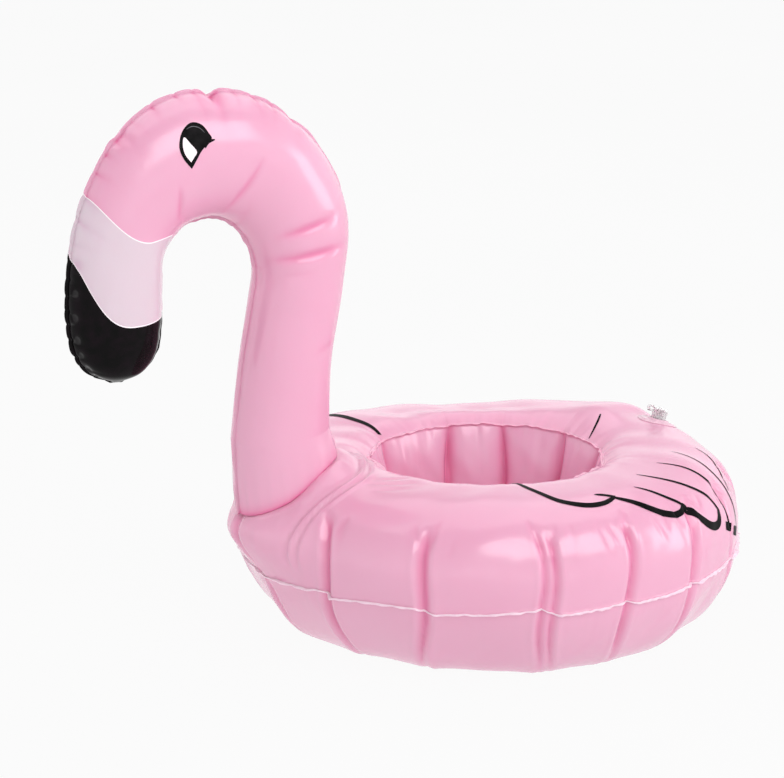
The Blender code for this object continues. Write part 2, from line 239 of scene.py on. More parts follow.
def upper_profile():
    radii = np.linspace(RIM_R, CROWN_R, 60)
    share = (CROWN_R - radii) / (CROWN_R - RIM_R)
    crown = np.stack([radii, CROWN_Z - RIM_DROP * share**RIM_POWER], 1)
    turn = np.linspace(0, math.pi / 2, 400)[1:]
    power = 2 / SHOULDER_POWER
    shoulder_r = CROWN_R + (SEAM_R - CROWN_R) * np.sin(turn) ** power
    shoulder_z = SEAM_Z + (CROWN_Z - SEAM_Z) * np.cos(turn) ** power
    return np.concatenate([crown, np.stack([shoulder_r, shoulder_z], 1)])


def lower_profile():
    turn = np.linspace(0, math.pi / 2, 300)
    power = 2 / BASE_POWER
    side_r = BASE_OUTER_R + (SEAM_R - BASE_OUTER_R) * np.cos(turn) ** power
    side_z = SEAM_Z * (1 - np.sin(turn) ** power)
    flat_r = np.linspace(BASE_OUTER_R, BASE_INNER_R, 30)[1:]
    inner = through([(BASE_INNER_R, 0), (52 * MM, 1.2 * MM), (FLOOR_R, 3.6 * MM)], 10)[1:]
    flat = np.stack([flat_r, flat_r * 0], 1)
    return np.concatenate([np.stack([side_r, side_z], 1), flat, inner])


UPPER = upper_profile()
LOWER = lower_profile()
PROFILE = np.concatenate([UPPER, LOWER[1:]])
PROFILE_ARC = lengths_along(PROFILE)
SEAM_ARC = PROFILE_ARC[len(UPPER) - 1]
PROFILE_SLOPE = np.gradient(PROFILE, PROFILE_ARC, axis=0)


def profile_at(arc):
    """Radius, height and outward normal at a distance along the skin from the rim."""
    radius, height = (np.interp(arc, PROFILE_ARC, PROFILE[:, k]) for k in (0, 1))
    run, rise = (np.interp(arc, PROFILE_ARC, PROFILE_SLOPE[:, k]) for k in (0, 1))
    size = np.hypot(run, rise)
    return radius, height, -rise / size, run / size


def turned(angle):
    """Degrees wrapped to -180..180."""
    return (angle + 180) % 360 - 180


def lobe_share(angle, folds):
    """How far along its lobe an angle lies, 0 to 1, and the lobe's width in degrees."""
    edges = np.array([f[0] for f in folds])
    where = np.searchsorted(edges, angle, side="right") - 1
    low = edges[where]
    high = edges[(where + 1) % len(edges)]
    width = (high - low) % 360
    share = ((angle - low) % 360) / width
    return share, width, where % len(edges)


def facet(share, width):
    """How much nearer the axis a straight chord lies than the arc, as a share of the radius."""
    half = np.radians(width) / 2
    return 1 - np.cos(half) / np.cos((share * 2 - 1) * half)


def nose(angle, height):
    """How much further from the rim the film reaches under the neck's foot. It fades out down to the seam."""
    swell = NOSE_STRETCH * np.maximum(0, -np.cos(np.radians(angle))) ** NOSE_SHARPNESS
    return swell * (0.1 + 0.9 * smoothstep(28 * MM, 56 * MM, height))


def crown_lift(angle, arc):
    """The crown stands a little higher beside the tail and lower at the far side."""
    high, low = (bell(turned(angle - centre) / half) for centre, half in (CROWN_HIGH, CROWN_LOW))
    return CROWN_LIFT * (high - low) * smoothstep(*CROWN_RISE, arc) * (1 - smoothstep(*CROWN_FALL, arc))


def fold_depth(angle, arc):
    """Depth of the narrow creases of OUTER_FOLDS, less the lips raised beside them."""
    depth = np.zeros(np.broadcast(angle, arc).shape)
    for centre, deep, half, gap, slant in OUTER_FOLDS:
        drift = slant * (arc - SEAM_ARC) / SEAM_R * FOLD_DRIFT + 0.8 * np.sin(arc / (9 * MM) + centre)
        away = np.radians(turned(angle - centre - drift)) * SEAM_R / MM
        sides = (away,) if gap == 0 else (away - gap, away + gap)
        for side in sides:
            depth += deep * bell(side / half, 1.25) / len(sides) ** 0.4
        lip = (np.abs(away) - gap - 2.3 * half) / (0.8 * half)
        depth -= FOLD_LIP * deep * bell(lip)
    return FOLD_SCALE * depth * MM


def segment_dents(x, y, dents):
    """Depth of short wrinkles on a surface with coordinates x and y: (x0, y0, x1, y1, depth, half width)."""
    total = np.zeros(np.broadcast(x, y).shape)
    for x0, y0, x1, y1, deep, half in dents:
        dx, dy = x1 - x0, y1 - y0
        size = math.hypot(dx, dy)
        along = np.clip(((x - x0) * dx + (y - y0) * dy) / size**2, 0, 1)
        away = np.hypot(x - x0 - along * dx, y - y0 - along * dy)
        total += deep * bell(away / half, 1.6) * np.sin(math.pi * np.clip(along, 0.02, 0.98)) ** 0.5
    return total


# Wrinkles across the film under the left wing and beside the neck, as those of shoulder_dents
WING_DENTS = (
    (-127, 60, -122, 50, 0.9, 1.3),
    (-122, 50, -117, 58, 0.8, 1.2),
    (-117, 58, -113, 51, 0.7, 1.2),
    (-97, 61, -92, 51, 0.9, 1.3),
    (-92, 51, -86, 60, 0.8, 1.3),
    (-150, 52, -146, 63, 0.5, 1.3),
    (-60, 60, -54, 50, 0.8, 1.3),
    (-54, 50, -49, 58, 0.7, 1.3),
    (-303, 24, -283, 9, 0.5, 1.2),
    (-306, 30, -279, 17, 0.6, 1.3),
    (-297, 33, -276, 24, 0.4, 1.3),
    (-296, 16, -285, 4, 0.5, 1.0),
)


def shoulder_dents():
    """Short wrinkles that fan out of the top of each fold, as (degrees to mm at the seam, arc in mm)."""
    rng = np.random.RandomState(5)
    dents = []
    for centre, deep, _, _, _ in OUTER_FOLDS:
        x = math.radians(centre) * SEAM_R / MM
        if abs(centre) > 170:
            continue
        for spread in (-1, 1):
            start = x + spread * rng.uniform(1.5, 3.0)
            end = start + spread * rng.uniform(2.0, 5.0)
            top = rng.uniform(46, 53)
            dents.append((start, 61, end, top, 0.20 * deep, 1.3))
        for _ in range(2):
            start = x + rng.uniform(-14, 14)
            top = rng.uniform(50, 56)
            end = start + rng.uniform(-3, 3)
            bottom = top + rng.uniform(8, 16)
            dents.append((start, top, end, bottom, rng.uniform(0.2, 0.5), 1.4))
    return dents + list(WING_DENTS)


SHOULDER_DENTS = shoulder_dents()


def foot_distance(x, y):
    """Distance outside the outline of the neck's foot, in mm."""
    across = np.hypot((x - FOOT_MIDDLE) / FOOT_REACH, y / FOOT_HALF)
    return (across - 1) * FOOT_HALF / MM * 1.12


def foot_relief(x, y):
    """The film beside the neck's weld: drawn up behind it, with a puckered valley and roll, and two creases."""
    away = foot_distance(x, y)
    turn = np.arctan2(y, x - FOOT_MIDDLE)
    pucker = 1 + 0.35 * np.sin(turn * 17) + 0.2 * np.sin(turn * 29 + 1)
    drawn_up = smoothstep(-0.5, 0.95, np.cos(turn)) * bell(np.maximum(away, 0) / 11.0, 1.5)
    wander = 0.7 * np.sin(turn * 5)
    relief = FOOT_PULL * drawn_up
    relief -= 0.7 * bell(away, 1.3) * (0.8 + 0.2 * pucker)
    relief += 0.35 * bell((away - 4.0) / 3.0) * pucker
    for tall, distance, half, power in FOOT_RINGS:
        relief += tall * bell((away - distance - wander) / half, power)
    return relief * MM


def rim_shift(angle):
    """How far the crinkled rim lies inside its circle, and how far above its plane."""
    share, width, _ = lobe_share(angle, WALL_PLEATS)
    inward = RIM_R * facet(share, width) * 0.6 + 0.25 * MM * ripple(angle, RIM_R, 0, 4 * MM, 11)
    upward = 0.9 * MM * np.abs(np.sin(math.pi * share)) ** 0.5 - 0.7 * MM
    return inward, upward + 0.25 * MM * ripple(angle, RIM_R, 0, 3 * MM, 12)


def seam_lift(angle):
    """Height that the outer weld gains or loses along each lobe, with a step at each fold."""
    share, width, where = lobe_share(angle, OUTER_FOLDS)
    rng = np.random.RandomState(8)
    tilt = rng.uniform(0.6, 1.7, len(OUTER_FOLDS))[where]
    bow = rng.uniform(-0.9, 0.2, len(OUTER_FOLDS))[where]
    ragged = 0.16 * ripple(angle, SEAM_R, 0, 2.2 * MM, 21) + 0.3 * ripple(angle, SEAM_R, 0, 9 * MM, 22)
    nearest = np.radians(np.minimum(share, 1 - share) * width) * SEAM_R / MM
    steep = np.sign(share - 0.5) * np.abs(2 * share - 1) ** 1.7 * (1 - bell(nearest / 2.2))
    return (tilt * steep + bow * np.sin(math.pi * share) + ragged) * MM


def ring_skin(angle, arc):
    """Points of the ring's film at an angle in degrees and a distance from the rim, and how creased it is."""
    radius, height, out_r, out_z = profile_at(arc)
    share, width, _ = lobe_share(angle, OUTER_FOLDS)
    past_seam = arc - SEAM_ARC
    kept = 1 - 0.8 * smoothstep(*FOLDS_FADE, past_seam)
    side = smoothstep(*FLANK_BEGIN, arc) * kept
    low = smoothstep(-16 * MM, 24 * MM, past_seam)
    under = 1 - smoothstep(*UNDERSIDE, past_seam)
    tuck = FRONT_TUCK * np.maximum(0, np.cos(np.radians(angle + 160))) ** 4 * low
    inward = (facet(share, width) * (0.3 * side * (1 - low) + 1.8 * low) + tuck) * under
    radius = radius * (1 - inward)
    bulge = 1 - np.abs(2 * share - 1) ** 3
    creases = fold_depth(angle, arc) * smoothstep(*FOLDS_BEGIN, arc) * kept
    around = np.radians(angle) * SEAM_R
    dents = segment_dents(around / MM, arc / MM, SHOULDER_DENTS) * MM
    soft = 0.45 * MM * ripple(angle, SEAM_R, arc, 22 * MM, 3)
    soft = soft + 0.12 * MM * ripple(angle, SEAM_R, arc, 7 * MM, 4) * side
    move = 1.6 * MM * (bulge - 0.6) * side - creases - dents + soft * smoothstep(0, 12 * MM, arc)
    reach = radius + nose(angle, height) * np.maximum(0, radius - RIM_R)
    turn = np.radians(angle)
    near_foot = 1 - smoothstep(-16 * MM, -5 * MM, past_seam)
    move = move + foot_relief(reach * np.cos(turn), reach * np.sin(turn)) * near_foot
    rim_in, rim_up = rim_shift(angle)
    rim = np.exp(-arc / (7 * MM)) * (arc < SEAM_ARC)
    weld = bell(past_seam / (9 * MM))
    from_valve = np.hypot(reach * np.cos(turn) - VALVE_X, reach * np.sin(turn) - VALVE_Y)
    lift = crown_lift(angle, arc) * (1 - bell(from_valve / CLEAR_OF_VALVE, 4))
    height = height + move * out_z + rim_up * rim + seam_lift(angle) * weld + lift
    reach = reach + move * out_r - rim_in * rim
    points = np.stack([CUP_X + reach * np.cos(turn), reach * np.sin(turn), np.maximum(height, 0.0)], -1)
    # The creased share darkens the film's colour in the folds and dents as painted shade.
    creased = np.clip((creases + 0.8 * dents) / FULL_CREASE, 0, 1)
    return points, creased


def skin_normals(angle, arc):
    """Outward unit normals of the ring's film, from neighbouring points."""
    step = 0.6 * MM
    degrees = math.degrees(step / SEAM_R)
    along = ring_skin(angle + degrees, arc)[0] - ring_skin(angle - degrees, arc)[0]
    down = ring_skin(angle, arc + step)[0] - ring_skin(angle, np.maximum(arc - step, 0))[0]
    return units(np.cross(down, along))


# ---- meshes


def grid_faces(rows, columns, wrap):
    """Quads of a grid whose normals point along (row direction) x (column direction)."""
    i, j = np.meshgrid(np.arange(rows - 1), np.arange(columns if wrap else columns - 1), indexing="ij")
    k = (j + 1) % columns
    quads = [i * columns + j, (i + 1) * columns + j, (i + 1) * columns + k, i * columns + k]
    return np.stack(quads, -1).reshape(-1, 4)


def new_piece(name, points, faces, materials, creased=None):
    mesh = bpy.data.meshes.new(name)
    mesh.from_pydata(np.reshape(points, (-1, 3)).tolist(), [], [list(face) for face in faces])
    if creased is not None:
        layer = mesh.attributes.new("creased", "FLOAT", "POINT")
        layer.data.foreach_set("value", np.asarray(creased, np.float32).reshape(-1))
    for material in materials:
        mesh.materials.append(material)
    mesh.shade_smooth()
    obj = bpy.data.objects.new(name, mesh)
    bpy.context.scene.collection.objects.link(obj)
    return obj


def film_thickness(obj, thickness=FILM):
    """Turns a sheet into film of a real thickness, on the side away from its normals."""
    film = obj.modifiers.new("film", "SOLIDIFY")
    film.thickness = thickness
    film.offset = -1
    film.use_rim = True


RING_ANGLES = turned(np.arange(RING_STEPS) * 360 / RING_STEPS)


def ring_panel(name, arcs, before, after, materials):
    """A panel of the ring: rows at arcs, and rows of weld flange that before and after make of its edges."""
    rows, creased = zip(*(ring_skin(RING_ANGLES, np.full(RING_STEPS, arc)) for arc in arcs))
    lead = [make(RING_ANGLES, rows[0]) for make in before]
    tail = [make(RING_ANGLES, rows[-1]) for make in after]
    blank = np.zeros(RING_STEPS)
    creased = [blank] * len(lead) + list(creased) + [blank] * len(tail)
    points = np.array(lead + list(rows) + tail)
    faces = grid_faces(len(points), RING_STEPS, True)
    obj = new_piece(name, points, faces, materials, np.array(creased))
    weld_rows = set(range(len(lead))) | set(range(len(points) - 1 - len(tail), len(points) - 1))
    for polygon in obj.data.polygons:
        if polygon.index // RING_STEPS in weld_rows:
            at_rim = polygon.index // RING_STEPS == 0 and len(materials) > 2
            polygon.material_index = 2 if at_rim else 1
    return obj


def moved_row(edge, angles, outward, upward):
    turn = np.radians(angles)
    return edge + np.stack([outward * np.cos(turn), outward * np.sin(turn), upward], -1)


def outward_flange(level):
    """The ragged weld flange round the outside, `level` above or below the weld's own plane."""

    def make(angles, edge):
        wide = 0.55 + 0.22 * ripple(angles, SEAM_R, 0, 5 * MM, 31)
        fine = 0.12 * ripple(angles, SEAM_R, 0, 1.6 * MM, 32)
        upward = level + 0.25 * MM * ripple(angles, SEAM_R, 0, 3.5 * MM, 33)
        return moved_row(edge, angles, FLANGE * (wide + fine), upward)

    return make


def rim_lip(shift):
    """The crinkled lip that stands on the rim, moved outwards by shift."""

    def make(angles, edge):
        tall = LIP * (0.18 + 0.2 * ripple(angles, RIM_R, 0, 4 * MM, 41))
        lean = -0.9 * MM + 0.3 * MM * ripple(angles, RIM_R, 0, 5 * MM, 42)
        return moved_row(edge, angles, shift + lean, tall)

    return make


def ring_top_film(materials):
    near_rim = 12 * MM
    rest = np.linspace(near_rim, SEAM_ARC - WELD_GAP, 52)
    arcs = np.concatenate([np.linspace(0.0, near_rim, 13)[:-1], rest])
    return ring_panel("ring_top_film", arcs, [rim_lip(0.1 * MM)], [outward_flange(0.1 * MM)], materials)


def ring_bottom_film(materials):
    flank = np.linspace(SEAM_ARC + WELD_GAP, SEAM_ARC + 50 * MM, 44)
    arcs = np.concatenate([flank, np.linspace(SEAM_ARC + 52 * MM, PROFILE_ARC[-1], 16)])
    return ring_panel("ring_bottom_film", arcs, [outward_flange(-0.2 * MM)], [], materials)


def cup_wall_film(materials):
    """The pleated lining of the well, from its foot up to the rim."""
    angles = RING_ANGLES
    share, _, _ = lobe_share(angles, WALL_PLEATS)
    rim_in, rim_up = rim_shift(angles)
    bulge = 1 - np.abs(2 * share - 1) ** 2.6
    foot_r = FLOOR_R + 0.6 * MM
    turn = np.radians(angles)
    rows = []
    creased = []
    for level in np.linspace(0, 1, 56):
        swell = math.sin(math.pi * min(1, level * 0.97 + 0.02)) ** 0.7
        folds = np.zeros(RING_STEPS)
        for centre, deep, half in WALL_PLEATS:
            drift = 2.0 * math.sin(level * 5 + centre)
            away = np.radians(turned(angles - centre - drift)) * RIM_R / MM
            folds += deep * bell(away / half, 1.2)
        folds *= MM * (0.25 + 0.75 * swell)
        radius = foot_r + (RIM_R - 0.3 * MM - rim_in - foot_r) * level**0.85
        radius = radius - (1.2 + 3.6 * bulge) * MM * swell + folds
        radius = radius + 0.35 * MM * ripple(angles, RIM_R, level * 65 * MM, 9 * MM, 51) * swell
        height = FLOOR_Z - 0.5 * MM + (CROWN_Z - RIM_DROP - FLOOR_Z + 0.5 * MM) * level + rim_up * level**6
        rows.append(np.stack([CUP_X + radius * np.cos(turn), radius * np.sin(turn), height], -1))
        # The pleats' creased share darkens the wall's colour as painted shade.
        creased.append(np.clip(folds / FULL_CREASE, 0, 1))
    rows.append(rim_lip(-0.1 * MM)(angles, rows[-1]))
    creased.append(np.zeros(RING_STEPS))
    faces = grid_faces(len(rows), RING_STEPS, True)
    obj = new_piece("cup_wall_film", np.array(rows), faces, materials, np.array(creased))
    for polygon in obj.data.polygons:
        if polygon.index // RING_STEPS == len(rows) - 2:
            polygon.material_index = 1
    return obj


def cup_floor_film(materials):
    """The floor of the well: a disc that sags a little, with a pressed weld band round its edge."""
    steps = 160
    disc = np.linspace(3 * MM, FLOOR_R - 3 * MM, 18)
    edge = np.linspace(FLOOR_R - 2.5 * MM, FLOOR_R - 0.2 * MM, 5)
    radii = np.concatenate([[0.4 * MM], disc, edge])
    turn = np.arange(steps) * 2 * math.pi / steps
    rows = []
    for radius in radii:
        x, y = radius * np.cos(turn), radius * np.sin(turn)
        sag = -0.35 * MM * (1 - (radius / FLOOR_R) ** 2) + 0.12 * MM * waves(x, y, 9 * MM, 61)
        band = 0.12 * MM if radius > FLOOR_R - 2.6 * MM else 0.0
        rows.append(np.stack([CUP_X + x, y, FLOOR_Z + sag - band], -1))
    faces = grid_faces(len(rows), steps, True).tolist() + [list(range(steps))]
    return new_piece("cup_floor_film", np.array(rows), faces, materials, np.zeros(len(rows) * steps))


# ---- neck and head


def head_outline():
    """Back edge, inner edge and half thickness along the neck, in metres about the cup axis, tip first."""
    back = through([s[0] for s in HEAD_STATIONS], STATION_STEPS) * MM
    inner = through([s[1] for s in HEAD_STATIONS], STATION_STEPS) * MM
    half = through([[s[2]] for s in HEAD_STATIONS], STATION_STEPS)[:, 0] * MM
    return back, inner, half


BACK_EDGE, INNER_EDGE, HALF_THICKNESS = head_outline()
BACK_LENGTH = lengths_along(BACK_EDGE)
INNER_LENGTH = lengths_along(INNER_EDGE)


# Gathers along the back edge: up to a length from the tip in mm, their spacing and their depth
GATHERS = (
    (62, (4.5, 8.0), (1.2, 2.6)),
    (190, (6.5, 11.0), (0.6, 2.3)),
    (math.inf, (9, 15), (0.2, 0.6)),
)


def pucker_places():
    """Places of the gathers along the back edge in mm, each with its depth, reach into the film and slant."""
    rng = np.random.RandomState(17)
    places = []
    spot = 1.0
    end = BACK_LENGTH[-1] / MM - 60
    while spot < end:
        spacing, depths = next(gather[1:] for gather in GATHERS if spot < gather[0])
        step = rng.uniform(*spacing)
        places.append((spot, rng.uniform(*depths), rng.uniform(0.22, 0.58), rng.uniform(-4, 4)))
        spot += step
    return places


PUCKERS = pucker_places()
# Deeper folds in the head's back edge, as mm from the beak's tip, depth and half width
NOTCHES = ((154.0, 4.2, 2.6), (193.0, 1.2, 3.5), (112.0, 1.2, 3.0))
# Gathers of the inner edge, as the places of pucker_depth
INNER_MARKS = ((70.0, 0.9, 0.6, 2.0), (97.0, 0.9, 0.6, -3.0), (84, 0.4, 0.4, 0), (118, 0.4, 0.4, 0))
# Dimples along the gathered edges of the beak's tip, as mm from the tip along the back and the inner edge
BACK_DIMPLES = (3.0, 8.0, 13.5, 20.0, 27.0, 36.0, 46.0, 57.0)
INNER_DIMPLES = (4.0, 8.5, 13.0, 17.5, 22.0, 27.0)


def pucker_depth(length, turn, places):
    """Depth of the gathers at a length along an edge, where turn is 0 on that edge."""
    depth = np.zeros(np.broadcast(length, turn).shape)
    for spot, deep, reach, slant in places:
        away = (length / MM - spot - slant * turn) / (0.7 + 2.2 * turn)
        depth += deep * bell(away, 1.1) * bell(turn / reach, 1.7)
    return depth * MM


def dimple_depth(length, turn, spots):
    """Depth of the round dimples just inside a gathered edge, where turn is 0 on that edge."""
    depth = np.zeros(np.broadcast(length, turn).shape)
    for spot in spots:
        across = (length / MM - spot) / 1.9
        depth += 1.5 * np.exp(-(across**2) - ((turn - 0.36) / 0.13) ** 2)
    return depth * MM


def head_films(side, materials):
    """Half of the neck and head, from the beak's tip to the weld. side is +1 for the bird's right."""
    share = np.linspace(0, 1, ACROSS + 1)
    turn = 0.55 * (math.pi * (1 - np.cos(math.pi * share)) / 2) + 0.45 * math.pi * share
    middle = (BACK_EDGE + INNER_EDGE) / 2
    reach = (BACK_EDGE - INNER_EDGE) / 2
    unit = units(reach)
    length = BACK_LENGTH[:, None]
    inner_length = INNER_LENGTH[:, None]
    from_back = turn[None, :]
    from_inner = math.pi - from_back
    puckers = pucker_depth(length, from_back, PUCKERS)
    inner_puckers = pucker_depth(inner_length, from_inner, INNER_MARKS)
    notch = sum(deep * bell((length / MM - spot) / wide, 1.4) for spot, deep, wide in NOTCHES) * MM
    notch = notch * bell(from_back / 0.45, 1.5)
    back_dimples = dimple_depth(length, from_back, BACK_DIMPLES)
    inner_dimples = dimple_depth(inner_length, from_inner, INNER_DIMPLES)
    dip = puckers + inner_puckers + notch + (back_dimples + inner_dimples)
    x = middle[:, 0:1] + reach[:, 0:1] * np.cos(turn)
    z = middle[:, 1:2] + reach[:, 1:2] * np.cos(turn)
    y = HALF_THICKNESS[:, None] * np.sin(turn)
    soft = 0.35 * MM * waves(length, np.cos(turn)[None, :] * 20 * MM, 16 * MM, 71)
    cross = segment_dents(x / MM, z / MM, NECK_CREASES) * MM
    lower = dip * np.sin(turn) ** 0.35 + cross - soft * np.sin(turn)
    y = np.maximum(y - lower * np.sin(turn) ** 0.5, 0.02 * MM)
    pull = (dip * 0.28 + notch * 0.6) * np.cos(turn)
    x = x - unit[:, 0:1] * pull
    z = z - unit[:, 1:2] * pull
    rows = np.stack([x, y, z], -1)
    rows = np.concatenate([rows, foot_films(rows[-1], turn)])
    creased = np.zeros(rows.shape[:2])
    # The creased share darkens the film's colour in gathers, dimples and creases as painted shade, and the
    # foot's weld row gets the same painted shade.
    creased[: len(dip)] = np.clip((dip + cross) / (1.6 * MM), 0, 1)
    foot_crease = 1.6 * np.linspace(0, 1, FOOT_STEPS) ** 14
    creased[len(dip) :] = foot_crease[:, None]
    rows, creased = with_flange(rows, creased)
    points = rows.reshape(-1, 3).copy()
    points[:, 0] += CUP_X
    points[:, 1] = side * (points[:, 1] + WELD_GAP)
    faces = grid_faces(rows.shape[0], rows.shape[1], False)
    if side < 0:
        faces = faces[:, ::-1]
    name = "neck_right_film" if side > 0 else "neck_left_film"
    return new_piece(name, points, faces, materials, creased)


# Creases of the neck and head in side view: two across the neck below the head, faint ones at the foot,
# and two on the head's inner side
NECK_CREASES = (
    (-105, 178, -82, 184, 1.5, 1.9),
    (-107, 167.5, -78, 171.5, 1.5, 1.9),
    (-104, 161, -92, 162, 0.2, 1.8),
    (-90, 128, -78, 131, 0.4, 1.5),
    (-119, 84, -112, 82, 0.6, 1.3),
    (-119, 77, -110, 74, 0.7, 1.4),
    (-92, 86, -79, 93, 0.9, 1.6),
    (-90, 77, -78, 86, 0.8, 1.3),
    (-86, 72, -78, 79, 0.6, 1.1),
    (-150, 202, -148.4, 187, 0.9, 1.1),
    (-115, 210, -127.5, 190, 1.0, 1.2),
)


def foot_films(last, turn):
    """Rows from the neck's last section down to the weld, which lies in the valley on the ring."""
    x = FOOT_MIDDLE + FOOT_REACH * np.cos(turn)
    y = FOOT_HALF * np.sin(turn)
    z = ring_height(x, y) + 0.3 * MM
    weld = np.stack([x, y, z], -1)
    outward = np.stack([np.cos(turn), np.sin(turn), turn * 0], -1)
    rows = []
    for step in range(1, FOOT_STEPS + 1):
        f = step / FOOT_STEPS
        swell = 0.7 * MM * math.sin(math.pi * f) * f**1.5
        pucker = 0.5 * MM * (np.sin(turn * 23 + 1) + 0.6 * np.sin(turn * 37)) * f**4 * (1 - f) * 4
        rows.append(last * (1 - f) + weld * f + outward * (swell + pucker)[:, None])
    return np.array(rows)


def ring_height(x, y):
    """Height of the ring's upper skin above points about the cup axis."""
    angle = np.degrees(np.arctan2(y, x))
    upper = PROFILE[: len(UPPER)]
    height = 60 * MM
    for _ in range(8):
        stretch = nose(angle, height)
        radius = (np.hypot(x, y) + stretch * RIM_R) / (1 + stretch)
        height = np.interp(radius, upper[:, 0], upper[:, 1])
    return height + foot_relief(x, y)


def with_flange(rows, creased):
    """Adds the weld flange to both edges of the head's rows and beyond its tip."""
    count = len(rows)
    place = np.arange(count)
    width = FLANGE * (0.6 + 0.14 * waves(place * 0.7 * MM, 0, 5 * MM, 81))
    edges = []
    for column, other in ((0, -1), (-1, 0)):
        edge = rows[:, column]
        away = edge - rows[:, other]
        away[:, 1] = 0
        edge = edge + units(away) * width[:, None]
        edge[:, 1] = 0.05 * MM
        edges.append(edge)
    rows = np.concatenate([edges[0][:, None], rows, edges[1][:, None]], 1)
    blank = np.zeros((count, 1))
    creased = np.concatenate([blank, creased, blank], 1)
    tip = rows[:1].copy()
    centre = tip[:, :, 0].mean()
    tip[..., 0] = centre + (tip[..., 0] - centre) * 0.6
    tip[..., 1] = 0.05 * MM
    tip[..., 2] -= FLANGE * 0.5
    return np.concatenate([tip, rows]), np.concatenate([creased[:1] * 0, creased])


# Width in mm of the light line along each printed edge of the beak, and the highest x that has print
KEYLINE = 0.5
BEAK_LIMIT = -150 * MM


def black_edge(x):
    """Height of the upper limit of the black print on the beak, in mm."""
    return np.where(x < -166, 147 + 0.0020 * np.abs(x + 166) ** 3, 147 + 0.009 * (x + 166) ** 2)


def pale_edge(x):
    """Height of the upper limit of the pale band on the beak, in mm."""
    return np.where(x < -161, 180.5 + 0.038 * (x + 161) ** 2, 180.5 + 0.12 * (x + 161))


def print_zone(obj, edge, above, slot):
    """Cuts the film along a printed edge, or some mm above it, and gives what lies below another material."""
    bm = bmesh.new()
    bm.from_mesh(obj.data)

    def below(co):
        x = (co.x - CUP_X) / MM
        return float(edge(x)) + above - co.z / MM

    def on_beak(co):
        return co.x < CUP_X + BEAK_LIMIT

    cuts = []
    for e in list(bm.edges):
        a, b = e.verts
        if not (on_beak(a.co) and on_beak(b.co)):
            continue
        fa, fb = below(a.co), below(b.co)
        if fa * fb < 0:
            cuts.append((e, a, fa / (fa - fb)))
    made = [bmesh.utils.edge_split(e, a, share)[1] for e, a, share in cuts]
    bmesh.ops.connect_verts(bm, verts=made)
    for face in bm.faces:
        middle = face.calc_center_median()
        if on_beak(middle) and below(middle) > 0:
            face.material_index = slot
            face.smooth = True
    bm.to_mesh(obj.data)
    bm.free()


# ---- print on the film


# The stroke's coordinate across the ring is worked out near the crown, at this share of the seam's radius
STROKE_R = SEAM_R * 0.9
STROKE_WEIGHT = 0.74


def tapered(count, ends, full):
    """Widths along a stroke: full in the middle, and narrowing to a share of it at each end."""
    t = np.linspace(0, 1, count)
    start = ends[0] + (1 - ends[0]) * np.minimum(t / 0.35, 1) ** 0.6
    end = ends[1] + (1 - ends[1]) * np.minimum((1 - t) / 0.35, 1) ** 0.6
    return full * start * end


def ring_stroke(name, spots, width, ends, material):
    """A printed line on the ring: spots are (degrees, mm from the rim along the film), and width is in mm."""
    line = through(spots, 14)
    x = np.radians(line[:, 0]) * STROKE_R
    y = line[:, 1] * MM
    along = units(np.gradient(np.stack([x, y], 1), axis=0))
    widths = tapered(len(line), ends, width) * STROKE_WEIGHT * MM
    rows = []
    for share in (-1, -0.5, 0, 0.5, 1):
        angle = np.degrees((x - along[:, 1] * widths * share) / STROKE_R)
        arc = np.maximum(y + along[:, 0] * widths * share, 0.2 * MM)
        points = ring_skin(angle, arc)[0] + skin_normals(angle, arc) * 0.14 * MM
        rows.append(points)
    rows = np.array(rows).transpose(1, 0, 2)
    return new_piece(name, rows, grid_faces(rows.shape[0], 5, False), [material])


def surface_of(obj):
    mesh = obj.data
    points = [v.co for v in mesh.vertices]
    faces = [p.vertices for p in mesh.polygons]
    return BVHTree.FromPolygons(points, faces)


def onto(tree, x, z, side, lift):
    """The point of a neck film seen from its own side at x and z, lifted off it by lift."""
    start = Vector((x, side * 0.08, z))
    hit, normal, _, _ = tree.ray_cast(start, Vector((0, -side, 0)))
    if normal.y * side < 0:
        normal = -normal
    return hit + normal * lift


def head_patch(name, tree, side, outline, lift, material):
    """A printed area on the head inside a smooth closed outline of (x, z) points in mm about the cup axis."""
    closed = list(outline) + [outline[0]]
    edge = through(closed, 10)[:-1] + EYE_SHIFT
    centre = edge.mean(axis=0)
    points = []
    shares = (0.02, 0.3, 0.55, 0.78, 1.0)
    for share in shares:
        for x, z in centre + (edge - centre) * share:
            points.append(tuple(onto(tree, CUP_X + x * MM, z * MM, side, lift)))
    faces = grid_faces(len(shares), len(edge), True).tolist() + [list(range(len(edge)))]
    return new_piece(name, points, faces, [material])


def head_stroke(name, tree, side, spots, width, ends, lift, material):
    """A printed line on the head through (x, z) points in mm about the cup axis."""
    line = through(spots, 12) + EYE_SHIFT
    along = units(np.gradient(line, axis=0))
    widths = tapered(len(line), ends, width) / 2
    points = []
    for i, spot in enumerate(line):
        for share in (-1, 0, 1):
            x = spot[0] - along[i, 1] * widths[i] * share
            z = spot[1] + along[i, 0] * widths[i] * share
            points.append(tuple(onto(tree, CUP_X + x * MM, z * MM, side, lift)))
    return new_piece(name, points, grid_faces(len(line), 3, False), [material])


# The eye's print in side view, in mm about the cup axis, before EYE_SHIFT moves it
EYE_SHIFT = (-3.0, 0.8)
EYE_OUTLINE = (
    (-142.3, 208.6),
    (-145.6, 213.0),
    (-146.6, 217.6),
    (-144.6, 222.8),
    (-140.6, 226.0),
    (-136.4, 225.2),
    (-133.8, 221.4),
    (-133.4, 219.4),
    (-137.6, 215.6),
    (-140.0, 212.2),
)
EYE_WHITE = (
    (-142.5, 211.2),
    (-144.6, 214.2),
    (-145.2, 217.6),
    (-144.2, 220.8),
    (-142.0, 218.2),
    (-139.9, 215.2),
    (-141.2, 213.0),
)
